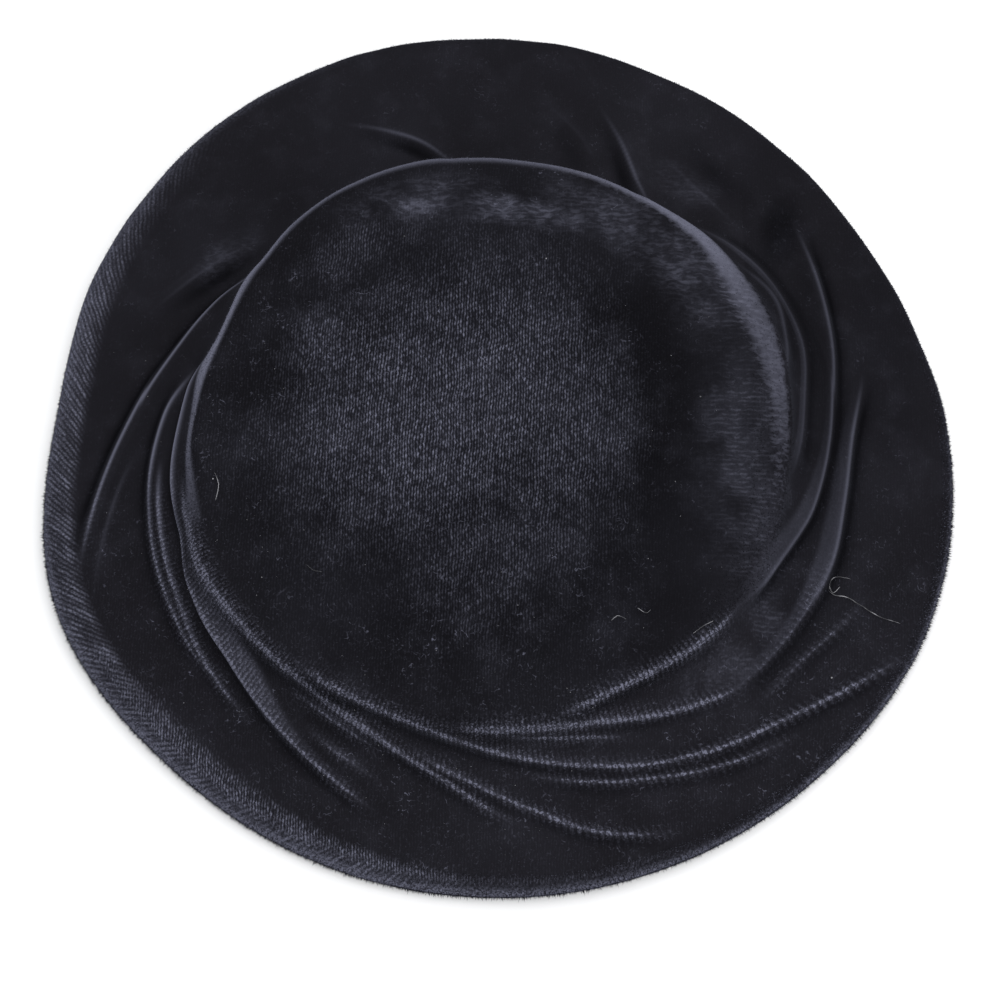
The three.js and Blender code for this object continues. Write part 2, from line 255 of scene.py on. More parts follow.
def smooth_curve(knots: Array, values: Array, where: Array, period: float = 0.0) -> Array:
    """Cubic curve through (knot, value) pairs, with each slope taken across its neighbours.

    Between two knots a and b, with t from 0 to 1 and slopes m:
    value = a (1 + 2t)(1 - t)^2 + ma t (1 - t)^2 + b (3 - 2t) t^2 - mb (1 - t) t^2.

    Args:
        knots: rising places of the values.
        values: one value at each knot.
        where: the places asked for, of any shape.
        period: the turn after which the curve closes on itself, or 0 for an open curve.

    Returns:
        The values there, in the shape of where.
    """
    x, y = np.asarray(knots, float), np.asarray(values, float)
    if period:
        where = np.mod(where - x[0], period) + x[0]
        x = np.concatenate([[x[-1] - period], x, [x[0] + period, x[1] + period]])
        y = np.concatenate([[y[-1]], y, [y[0], y[1]]])
    before = np.maximum(np.arange(len(x)) - 1, 0)
    after = np.minimum(np.arange(len(x)) + 1, len(x) - 1)
    slope = (y[after] - y[before]) / (x[after] - x[before])
    i = np.clip(np.searchsorted(x, where, side="right") - 1, 0, len(x) - 2)
    span = x[i + 1] - x[i]
    t = (where - x[i]) / span
    rest = 1 - t
    start = y[i] * (1 + 2 * t) * rest**2 + slope[i] * span * t * rest**2
    return start + y[i + 1] * (3 - 2 * t) * t**2 - slope[i + 1] * span * rest * t**2


def smooth_step(value: Array, low: float, high: float) -> Array:
    """Rises smoothly from 0 at low to 1 at high: t^2 (3 - 2t)."""
    t = np.clip((value - low) / (high - low), 0, 1)
    return t * t * (3 - 2 * t)


def between(value: Array, rise: tuple[float, float], fall: tuple[float, float]) -> Array:
    """Rises smoothly from 0 to 1 over one pair of values, and falls back to 0 over the next."""
    return smooth_step(value, *rise) * (1 - smooth_step(value, *fall))


def cubic(a: Array, b: Array, c: Array, d: Array, t: Array) -> Array:
    """The point at t on the cubic curve with the control values a, b, c and d."""
    rest = 1 - t
    return a * rest**3 + 3 * b * rest**2 * t + 3 * c * rest * t**2 + d * t**3


class Drape(NamedTuple):
    """What the folds do at each place: how far they stand out, their painted highlights and their painted
    shade.
    """

    rise: Array
    crest: Array
    halo: Array
    band: Array
    shade: Array


@dataclass(frozen=True)
class HatForm:
    """The whole hat as one surface of angle and station, the same for the crown and the brim."""

    centre_x: float = -2.2
    centre_y: float = -8.2
    tip_top: float = 39.5
    tip_dome: float = 3.0
    edge_drop: float = 5.0
    foot_height: float = 13.0
    foot_ease: float = 0.6
    handle: float = 0.55
    brim_sag: float = 0.8
    wall: float = 2.4
    hem_wall: float = 3.6
    thinnest: float = 1.2
    fold_fade: float = 11.0
    hollow_share: float = 0.3
    hollow_place: float = 2.0
    shade_place: float = 1.5
    shade_width: float = 0.8
    full_shade_rise: float = 2.0
    least_band: float = 0.35
    crest_width: float = 0.6
    halo_width: float = 1.9
    stretches: int = 6
    foot: int = 3

    def size(self, name: str, angle: Array) -> Array:
        """One column of SECTIONS as a smooth closed curve, at any angles."""
        values = [getattr(section, name) for section in SECTIONS]
        return smooth_curve([section.angle for section in SECTIONS], values, angle, FULL_TURN)

    def outline(self, angle: Array, station: Array) -> tuple[Array, Array]:
        """The smooth outline without its folds.

        tip: a shallow dome; edge and side: cubic curves that run on into each other, whose handles take the
        share called handle of their run; shelf: a straight run with a slight sag; roll: a quarter circle;
        skirt: straight down to the hem.

        Args:
            angle: angles about the crown's centre.
            station: stations along the outline, 0 to 6.

        Returns:
            The reach from the crown's centre and the height.
        """
        crown, inset, brim, flare, lean, top, roll, lift = (
            self.size(name, angle) for name in Section._fields[1:]
        )
        station = np.broadcast_to(station, np.broadcast(angle, station).shape)
        part = np.clip(np.floor(station), 0, self.stretches - 1).astype(int)
        t = np.clip(station - part, 0, 1)
        bend = t * np.pi / 2
        edge_top = self.tip_top - self.tip_dome
        start = edge_top - self.edge_drop
        foot = self.foot_height
        near_end = 1 - self.handle
        middle = start + (foot - start) * self.handle
        tip_fall = self.handle * inset * 2 * self.tip_dome / (crown - inset)
        edge_fall = self.handle * self.edge_drop
        turn_in = lean * flare * edge_fall / (start - middle)
        sag = self.brim_sag * 4 * t * (1 - t)
        reach = np.choose(part, [
            (crown - inset) * t,
            crown + cubic(-inset, -near_end * inset, -turn_in, 0, t),
            crown + cubic(0, lean * flare, near_end * flare, flare, t),
            (crown + flare) * (1 - t) + (brim - roll) * t,
            brim - roll * (1 - np.sin(bend)),
            brim + 0 * t,
        ])
        height = np.choose(part, [
            self.tip_top - self.tip_dome * t**2,
            cubic(edge_top, edge_top - tip_fall, start + edge_fall, start, t),
            cubic(start, middle, foot + self.foot_ease, foot, t),
            foot * (1 - t) + top * t - sag,
            top - roll * (1 - np.cos(bend)),
            (top - roll) * (1 - t) + np.maximum(lift, 0) * t,
        ])
        return reach, height

    def outward(self, angle: Array, station: Array) -> tuple[Array, Array]:
        """The direction square to the outline, as its parts along the reach and the height.

        Args:
            angle: angles about the crown's centre.
            station: stations along the outline.

        Returns:
            The two parts of a unit direction.
        """
        step = 0.01
        ahead = self.outline(angle, np.minimum(station + step, self.stretches))
        behind = self.outline(angle, np.maximum(station - step, 0))
        run_out, run_up = ahead[0] - behind[0], ahead[1] - behind[1]
        length = np.hypot(run_out, run_up)
        return -run_up / length, run_out / length

    def drape(self, angle: Array, out: Array, reach: Array) -> Drape:
        """Sums the folds at places given by angle and by distance outside the crown's edge.

        With d the distance across a ridge, a fold rises by exp(-(d / spread)^2) less a hollow at its
        steep foot, and fades out over fold_fade degrees at both ends. The hollow and the painted shade lie
        hollow_place and shade_place times the steep side's spread out, the band of painted highlight covers
        the gentle side, and crest and halo are the painted highlight along the ridge.

        Args:
            angle: angles about the crown's centre.
            out: distances outside the crown's edge.
            reach: distances from the centre, which turn angles into lengths.

        Returns:
            What the folds do at each place.
        """
        shape = np.broadcast(angle, out).shape
        rise, crest, halo, band, shade = (np.zeros(shape) for _ in range(5))
        for fold in FOLDS:
            first, last = fold.angles[0], fold.angles[-1]
            turn = first + np.mod(angle - first, FULL_TURN)
            near = np.minimum(turn, last)
            ends = (first, first + self.fold_fade), (last - self.fold_fade, last)
            fade = between(near, *ends) * (turn <= last)
            route = smooth_curve(fold.angles, fold.outs, near)
            ahead = smooth_curve(fold.angles, fold.outs, near + 0.5)
            behind = smooth_curve(fold.angles, fold.outs, near - 0.5)
            slope = (ahead - behind) / np.radians(reach)
            across = (out - route) / np.hypot(1, slope)
            foot_side = 1 if fold.outer <= fold.inner else -1
            steep = min(fold.inner, fold.outer)
            gentle = max(fold.inner, fold.outer)
            spread = np.where(across < 0, fold.inner, fold.outer)
            hollow = np.exp(-(((across - foot_side * self.hollow_place * steep) / steep) ** 2))
            rise += fold.rise * fade * (np.exp(-((across / spread) ** 2)) - self.hollow_share * hollow)
            # crest and halo: the painted highlight along the ridge, where the pile also opens
            lit = fold.lit * fade
            crest = np.maximum(crest, lit * np.exp(-((across / self.crest_width) ** 2)))
            # band: a painted highlight over the gentle side
            opened_and_lit = np.maximum(smooth_curve(fold.angles, fold.band, near), 0)
            broad = self.least_band + (1 - self.least_band) * opened_and_lit
            back = across * foot_side / (gentle * broad)
            plateau = between(back, rise=(-1.3, -0.8), fall=(0.0, 0.25))
            band = np.maximum(band, opened_and_lit * fade * plateau)
            halo = np.maximum(halo, lit * np.exp(-((across / self.halo_width) ** 2)))
            # shade: painted shade beside the steep side
            beside = across - foot_side * self.shade_place * steep
            deep = np.exp(-((beside / (self.shade_width * steep)) ** 2))
            shade = np.maximum(shade, fade * deep * min(fold.rise / self.full_shade_rise, 1))
        return Drape(np.maximum(rise, self.thinnest - self.wall), crest, halo, band, shade)

    def ripple(self, x: Array, y: Array) -> Array:
        """Slow unevenness of the cloth: a sum of plane waves, height sin(2 pi s / length + start).

        Args:
            x, y: places seen from above.

        Returns:
            The height at each place.
        """
        total = 0.0
        for wave in RIPPLES:
            turn = np.radians(wave.turn)
            along = x * np.cos(turn) + y * np.sin(turn)
            total = total + wave.height * np.sin(2 * np.pi * along / wave.length + np.radians(wave.start))
        return total

    def to_place(self, angle: Array, reach: Array, height: Array) -> Array:
        """Turns angle, reach and height into points, in the last axis.

        Args:
            angle: angles about the crown's centre.
            reach: distances from the centre.
            height: heights above the table.

        Returns:
            The points.
        """
        turn = np.radians(angle)
        x = self.centre_x + reach * np.cos(turn)
        y = self.centre_y + reach * np.sin(turn)
        return np.stack(np.broadcast_arrays(x, y, height), axis=-1)

    def outside(self, angle: Array, station: Array, lift: Array = 0.0) -> Array:
        """The outer face of the velvet, or a face that stands lift above it.

        Args:
            angle: angles about the crown's centre.
            station: stations along the outline.
            lift: how far above the velvet the points stand.

        Returns:
            The points.
        """
        reach, height = self.outline(angle, station)
        crown = self.size("crown", angle)
        rise = self.drape(angle, reach - crown, np.maximum(reach, crown)).rise
        plain = self.to_place(angle, reach, height)
        slack = smooth_step(height, 0.0, self.size("top", angle))
        rise = rise + lift + slack * self.ripple(plain[..., 0], plain[..., 1])
        across, up = self.outward(angle, station)
        return self.to_place(angle, reach + across * rise, height + up * rise)

    def inside(self, angle: Array, station: Array, depth: Array) -> Array:
        """The plain inner face, depth behind the smooth outline.

        Args:
            angle: angles about the crown's centre.
            station: stations along the outline.
            depth: the wall's thickness there.

        Returns:
            The points.
        """
        reach, height = self.outline(angle, station)
        across, up = self.outward(angle, station)
        return self.to_place(angle, reach - across * depth, height - up * depth)

    def hem(self, angle: Array, bend: Array) -> Array:
        """The turned-under hem: half a circle from the outer face (bend 0) to the inner (bend 1).

        Args:
            angle: angles about the crown's centre.
            bend: shares of the half circle.

        Returns:
            The points.
        """
        reach, low = self.outline(angle, np.full_like(bend, self.stretches))
        radius = self.hem_wall / 2
        turn = np.pi * bend
        return self.to_place(
            angle, reach - radius * (1 - np.cos(turn)), low + radius * (1 - np.sin(turn))
        )

    def normal(self, angle: Array, station: Array) -> Array:
        """Unit normals of the outer face, from the differences of its points along both parameters.

        Args:
            angle: angles about the crown's centre.
            station: stations along the outline.

        Returns:
            One unit vector for each place, in the last axis.
        """
        step = 0.004
        station = np.clip(station, step, self.stretches - step)
        along = self.outside(angle, station + step) - self.outside(angle, station - step)
        round_about = self.outside(angle + step * 40, station) - self.outside(angle - step * 40, station)
        square = np.cross(along, round_about)
        return square / np.linalg.norm(square, axis=-1, keepdims=True)

    def above(self, x: Array, y: Array, lift: Array) -> Array:
        """Points lift above the velvet at places seen from above, by the station whose reach is nearest.

        Args:
            x, y: rows of places seen from above.
            lift: how far above the velvet each point stands.

        Returns:
            The points.
        """
        angle = np.degrees(np.arctan2(y - self.centre_y, x - self.centre_x))
        stations = np.linspace(0, 5, 3000)[:, None]
        reach, _ = self.outline(angle[None, :], stations)
        wanted = np.hypot(x - self.centre_x, y - self.centre_y)
        nearest = np.argmin(np.abs(reach - wanted), axis=0)
        return self.outside(angle, stations[nearest, 0], lift)

    def wear(self, kind: Wear, place: Array) -> Array:
        """How strong one kind of patch is at each place, wear or painted light: the strongest of its soft
        ovals.

        Args:
            kind: the kind of patch.
            place: points, in the last axis.

        Returns:
            Values from 0 to 1.
        """
        most = np.zeros(place.shape[:-1])
        for patch in PATCHES:
            if patch.wear is not kind:
                continue
            turn = np.radians(patch.turn)
            x, y = place[..., 0] - patch.x, place[..., 1] - patch.y
            along = (x * np.cos(turn) + y * np.sin(turn)) / patch.length
            across = (y * np.cos(turn) - x * np.sin(turn)) / patch.width
            most = np.maximum(most, patch.strength * np.exp(-((along**2 + across**2) ** 1.5)))
        return most

    def rim(self, angle: Array, out: Array) -> Array:
        """The painted highlight along the crown's edge: even over the band, crisp on its outer side.

        Args:
            angle: angles about the crown's centre.
            out: distances outside the crown's edge.

        Returns:
            Values from 0 to about 1.
        """
        angles = [row.angle for row in RIM_LIGHTS]
        strength, width, border = (
            smooth_curve(angles, [getattr(row, name) for row in RIM_LIGHTS], angle, FULL_TURN)
            for name in RimLight._fields[1:]
        )
        inward = (border - out) / width
        return np.maximum(strength, 0) * between(inward, rise=(-0.15, 0.2), fall=(0.6, 1.3))


FORM = HatForm()


def mesh_piece(name: str, points: Array, faces: list, marks: dict[str, Array]) -> bpy.types.Object:
    """Puts points and faces into a new smooth-shaded object at the origin.

    Args:
        name: the piece's name.
        points: one row of x, y and z for each point, in millimetres.
        faces: lists of point numbers, winding so that they face outwards.
        marks: values at the points, by the name that the materials read.

    Returns:
        The object, already in the scene.
    """
    mesh = bpy.data.meshes.new(name)
    mesh.from_pydata((points * MM).tolist(), [], faces)
    for mark, values in marks.items():
        attribute = mesh.attributes.new(mark, "FLOAT", "POINT")
        attribute.data.foreach_set("value", np.ascontiguousarray(values, np.float32).ravel())
    mesh.polygons.foreach_set("use_smooth", np.ones(len(mesh.polygons), bool))
    mesh.update()
    piece = bpy.data.objects.new(name, mesh)
    bpy.context.scene.collection.objects.link(piece)
    return piece


def grid_faces(rows: int, columns: int, ring: bool) -> Array:
    """Squares between the rows of a grid whose columns close on themselves.

    Args:
        rows: number of rows, each of columns points, numbered row by row.
        columns: number of points in a row.
        ring: whether the last row joins the first.

    Returns:
        One row of four point numbers for each square.
    """
    first = np.arange(rows if ring else rows - 1)
    low = (first[:, None] * columns + np.arange(columns)).ravel()
    low_next = (first[:, None] * columns + (np.arange(columns) + 1) % columns).ravel()
    above = ((first[:, None] + 1) % rows * columns + np.arange(columns)).ravel()
    above_next = ((first[:, None] + 1) % rows * columns + (np.arange(columns) + 1) % columns).ravel()
    return np.stack([low, above, above_next, low_next], axis=1)


class Stretch(NamedTuple):
    """Where a mark is on: it fades in over one pair of angles or stations, and out over the next."""

    rise: tuple[float, float]
    fall: tuple[float, float]


@dataclass(frozen=True)
class VelvetCover:
    """A length of the hat's covering as a closed wall: its outer face, and the plain face behind it.

    left to near are angles, and near ends near_swing degrees later for each millimetre outside the crown's
    edge, as the folds do. laid_sheen_left to fringe_left are stations across the brim and its turned edge.
    """

    name: str
    columns: int = 640
    left: Stretch = Stretch((122, 170), (198, 226))
    far_left: Stretch = Stretch((102, 128), (165, 190))
    near_left: Stretch = Stretch((198, 226), (288, 304))
    near_left_thins: tuple[float, float] = (258, 270)
    near: Stretch = Stretch((176, 205), (318, 336))
    near_swing: float = 0.5
    laid_sheen_left: tuple[float, float] = (3.84, 4.08)
    laid_sheen_near_left: tuple[float, float] = (4.1, 4.6)
    grid_end: tuple[float, float] = (4.3, 4.55)
    fringe_near: tuple[float, float] = (4.4, 4.9)
    fringe_left: tuple[float, float] = (4.0, 4.6)

    @property
    def angles(self) -> Array:
        """The angles of the columns, as one row."""
        return (np.arange(self.columns) * FULL_TURN / self.columns)[None, :]

    def outer_rows(self, stations: Array) -> Array:
        """Rows of points on the outer face."""
        return FORM.outside(self.angles, stations[:, None])

    def inner_rows(self, stations: Array, depth: float) -> Array:
        """Rows of points on the inner face."""
        return FORM.inside(self.angles, stations[:, None], depth)

    def marks(self, stations: Array, outer: Array, hidden_points: int) -> dict[str, Array]:
        """The pile's lie with its painted light and shade at the outer points, then zeros for the points
        behind.

        Args:
            stations: the stations of the outer rows.
            outer: their points.
            hidden_points: how many points follow.

        Returns:
            One value for each point of the mesh, by mark.
        """
        reach, _ = FORM.outline(self.angles, stations[:, None])
        crown = FORM.size("crown", self.angles)
        drape = FORM.drape(self.angles, reach - crown, np.maximum(reach, crown))
        angle, station = self.angles, stations[:, None]
        left, far_left = between(angle, *self.left), between(angle, *self.far_left)
        near_left = smooth_step(angle, *self.near_left.rise)
        near_left = near_left * (1 - 0.75 * smooth_step(angle, *self.near_left_thins))
        near_left = near_left * (1 - smooth_step(angle, *self.near_left.fall))
        swung = angle - self.near_swing * (reach - crown)
        near = smooth_step(angle, *self.near.rise) * (1 - smooth_step(swung, *self.near.fall))
        # the left turned edge: pile lying slantwise under a painted sheen
        laid = left * smooth_step(station, *self.laid_sheen_left)
        laid = laid + 0.95 * near_left * smooth_step(station, *self.laid_sheen_near_left)
        within = 3.1 + 0.75 * smooth_step(angle, 224, 264)
        full_grid, no_grid = self.grid_end
        grid = near_left * smooth_step(station, within, full_grid) ** 3
        grid = grid * (1 - smooth_step(station, full_grid, no_grid))
        near_side = 1 - smooth_step(outer[..., 1], -60, 30)
        fringe = smooth_step(station, *self.fringe_near) * (0.2 + 0.8 * near_side)
        fringe += 0.4 * far_left * smooth_step(station, *self.fringe_left)
        on_cap = station < 2
        far_tip, right_tip = smooth_step(outer[..., 1], 20, 60), smooth_step(outer[..., 0], 20, 60)
        on_tip = on_cap * (1 - 0.4 * far_tip) * (1 - 0.7 * right_tip)
        near_brim = (1 - 0.75 * smooth_step(outer[..., 1], -90, 10)) * (1 - on_cap)
        # fold marks and the rim are painted highlights and painted shade; pile lying over carries painted
        # sheen too
        seen = {
            "crest": drape.crest,
            "halo": drape.halo,
            "band": drape.band,
            "shade": drape.shade,
            "rim": FORM.rim(angle, reach - crown) * (station > 0.5) * (1 - smooth_step(station, 2.0, 2.3)),
            "laid": laid,
            "grid": grid,
            "fringe": fringe,
            "ribbed": near,
            "flecked": on_tip + near_brim,
            "worn": FORM.wear(Wear.WORN, outer) * (station < 2.5),
            "brushed_and_sheen": FORM.wear(Wear.BRUSHED_AND_SHEEN, outer),
            "deep": FORM.wear(Wear.DEEP, outer) * np.where(on_cap | (outer[..., 0] > 80), 1.0, 0.0),
        }
        return {mark: np.append(values.ravel(), np.zeros(hidden_points)) for mark, values in seen.items()}

    def join_normals(self, piece: bpy.types.Object, row_start: int) -> None:
        """Gives the border at the crown's foot the surface's own normals, so that no seam shows.

        Args:
            piece: the finished piece.
            row_start: the number of the border row's first point.
        """
        normals = np.zeros((len(piece.data.vertices), 3))
        normals[row_start:row_start + self.columns] = FORM.normal(self.angles, FORM.foot)[0]
        piece.data.normals_split_custom_set_from_vertices(normals.tolist())


@dataclass(frozen=True)
class CrownCover(VelvetCover):
    """The crown: tip, rounded edge and draped side, hollow underneath."""

    name: str = "crown_velvet"
    tip_rows: int = 22
    edge_rows: int = 12
    side_rows: int = 84
    inside_rows: int = 12

    def build(self) -> bpy.types.Object:
        """Makes the closed cap, with a point at the middle of each face.

        Returns:
            The piece.
        """
        tip = np.linspace(0, 1, self.tip_rows + 1)[1:]
        edge = 1 + np.arange(1, self.edge_rows + 1) / self.edge_rows
        side = 2 + np.arange(1, self.side_rows + 1) / self.side_rows
        stations = np.concatenate([tip, edge, side])
        outer = self.outer_rows(stations)
        inner_stations = FORM.foot * (1 - np.arange(self.inside_rows) / self.inside_rows)
        inner = self.inner_rows(inner_stations, FORM.wall)
        grid = np.concatenate([outer, inner]).reshape(-1, 3)
        middle = np.zeros((1, 1))
        top = FORM.outside(middle, middle).reshape(1, 3)
        under = FORM.inside(middle, middle, FORM.wall).reshape(1, 3)
        squares = grid_faces(len(stations) + len(inner_stations), self.columns, ring=False)
        column = np.arange(self.columns)
        column_next = (column + 1) % self.columns
        top_point = np.full(self.columns, len(grid))
        top_fan = np.stack([top_point, column, column_next], axis=1)
        last = len(grid) - self.columns
        under_fan = np.stack([last + column, top_point + 1, last + column_next], axis=1)
        marks = self.marks(stations, outer, inner.size // 3)
        worn_middle = float(FORM.wear(Wear.WORN, top)[0])
        marks = {mark: np.append(values, [0.0, 0.0]) for mark, values in marks.items()}
        marks["worn"][-2] = worn_middle
        piece = mesh_piece(
            self.name,
            np.concatenate([grid, top, under]),
            squares.tolist() + top_fan.tolist() + under_fan.tolist(),
            marks,
        )
        self.join_normals(piece, (len(stations) - 1) * self.columns)
        return piece


@dataclass(frozen=True)
class BrimCover(VelvetCover):
    """The brim: a ring from the crown's foot out to the turned edge and round its hem."""

    name: str = "brim_velvet"
    shelf_rows: int = 74
    roll_rows: int = 16
    skirt_rows: int = 4
    skirt_end: float = 0.75
    hem_rows: int = 7
    inside_rows: int = 10

    def build(self) -> bpy.types.Object:
        """Makes the closed ring.

        Returns:
            The piece.
        """
        shelf = FORM.foot + np.arange(self.shelf_rows + 1) / self.shelf_rows
        roll = 4 + np.arange(1, self.roll_rows + 1) / self.roll_rows
        skirt = 5 + self.skirt_end * np.arange(1, self.skirt_rows + 1) / self.skirt_rows
        stations = np.concatenate([shelf, roll, skirt])
        outer = self.outer_rows(stations)
        bend = (np.arange(self.hem_rows + 1) / self.hem_rows)[:, None]
        hem = FORM.hem(self.angles, np.broadcast_to(bend, (self.hem_rows + 1, self.columns)))
        back = np.linspace(5.0, FORM.foot, self.inside_rows)
        depth = np.where(back >= 4, FORM.hem_wall, FORM.wall)[:, None]
        inner = self.inner_rows(back, depth)
        grid = np.concatenate([outer, hem, inner]).reshape(-1, 3)
        rows = len(stations) + len(hem) + len(back)
        piece = mesh_piece(
            self.name,
            grid,
            grid_faces(rows, self.columns, ring=True).tolist(),
            self.marks(stations, outer, (len(hem) + len(back)) * self.columns),
        )
        self.join_normals(piece, 0)
        return piece


@dataclass(frozen=True)
class PileTufts:
    """Single tufts of pile that stand off an edge and break up its outline."""

    name: str
    first_station: float
    last_station: float
    rows: int
    longest: float
    columns: int = 1400
    root_width: float = 0.17
    sunk: float = 0.25
    lean: float = 0.3
    stray: float = 0.35
    least: float = 0.35
    far_share: float = 0.35
    seed: int = 41

    def build(self) -> bpy.types.Object:
        """Sets three-sided points on the surface: three root corners sunk in the cloth, and a tip.

        Returns:
            The piece.
        """
        draws = np.random.default_rng(self.seed)
        count = self.columns * self.rows
        column = np.tile(np.arange(self.columns), self.rows) + draws.uniform(-self.stray, self.stray, count)
        row = np.repeat(np.arange(self.rows), self.columns) + draws.uniform(0, 1, count)
        angle = column * FULL_TURN / self.columns
        station = self.first_station + (self.last_station - self.first_station) * row / self.rows
        up = FORM.normal(angle, station)
        root = FORM.outside(angle, station) - up * self.sunk
        near = 1 - smooth_step(root[:, 1], -40, 60)
        by_place = self.far_share + (1 - self.far_share) * near
        length = self.longest * draws.uniform(self.least, 1.0, count) * by_place + self.sunk
        sway = draws.normal(0, self.lean, (count, 3)) * [1, 1, 0.4]
        tip = root + (up + sway) * length[:, None]
        tip[:, 2] = np.maximum(tip[:, 2], 0.2)
        aside = np.cross(up, [0.0, 0.0, 1.0])
        aside /= np.maximum(np.linalg.norm(aside, axis=1, keepdims=True), 1e-6)
        along = np.cross(up, aside)
        turn = draws.uniform(0, 2 * np.pi, count)[:, None]
        thirds = (turn, turn + 2 * np.pi / 3, turn + 4 * np.pi / 3)
        feet = [root + self.root_width * (aside * np.cos(third) + along * np.sin(third)) for third in thirds]
        points = np.stack(feet + [tip], axis=1).reshape(-1, 3)
        sides = np.array([[0, 1, 3], [1, 2, 3], [2, 0, 3], [0, 2, 1]])
        faces = (4 * np.arange(count)[:, None, None] + sides).reshape(-1, 3)
        reach, _ = FORM.outline(angle, station)
        # the crown edge's painted highlight, carried onto the tufts there
        rim = FORM.rim(angle, reach - FORM.size("crown", angle)) * draws.uniform(0.3, 1.0, count)
        light = draws.uniform(0, 1, count) ** 2 * (0.2 + 0.8 * near) * (station > FORM.foot)
        at_tip = np.array([0.4, 0.4, 0.4, 1.6])
        marks = {"fringe": light[:, None] * at_tip, "rim": np.repeat(rim, 4)}
        return mesh_piece(self.name, points, faces.tolist(), marks)


EDGE_TUFTS = (
    PileTufts("brim_edge_tufts", first_station=4.1, last_station=5.4, rows=20, longest=1.0),
    PileTufts("crown_edge_tufts", first_station=1.2, last_station=2.1, rows=6, longest=0.8),
)


class Fibre(NamedTuple):
    """A loose fibre on the velvet, by the places it passes over, seen from above, and its thickness."""

    xs: tuple[float, ...]
    ys: tuple[float, ...]
    thickness: float


FIBRES = (
    # the long thread on the right of the brim, and the loop at its end
    Fibre((125.4, 119.5, 115.6, 112, 109, 105.4, 103.4), (-61.8, -60.1, -58, -55.9, -54, -53.4, -52), 0.28),
    Fibre((103.4, 103.8, 106.4, 110.5), (-52, -49, -47.3, -48), 0.24),
    Fibre((103.2, 104.8, 107), (-50, -52.5, -50.5), 0.2),
    # short ones on the tip and the near brim
    Fibre((64.7, 61.6, 58.5), (-68.8, -70.8, -73.3), 0.24),
    Fibre((-58.5, -56.4, -53.8), (-52.2, -54, -54.6), 0.2),
    Fibre((34, 36, 38.5), (-70, -68.5, -69.5), 0.18),
    Fibre((42, 44.5, 46), (-66, -67.5, -66.5), 0.18),
    Fibre((-87.5, -86.2, -87), (-22, -26, -31), 0.18),
)


class Speck(NamedTuple):
    """A crumb of lint, seen from above, and its width."""

    x: float
    y: float
    width: float


SPECKS = (
    Speck(62.7, 3.0, 0.9),
    Speck(103.2, -79.8, 0.9),
    Speck(20.5, -91, 0.7),
    Speck(21.5, -92.2, 0.5),
    Speck(-88, -24, 0.7),
    Speck(-72, -56, 0.6),
    Speck(-3, -31, 0.5),
    Speck(-30, 58, 0.6),
    Speck(15, 50, 0.6),
)


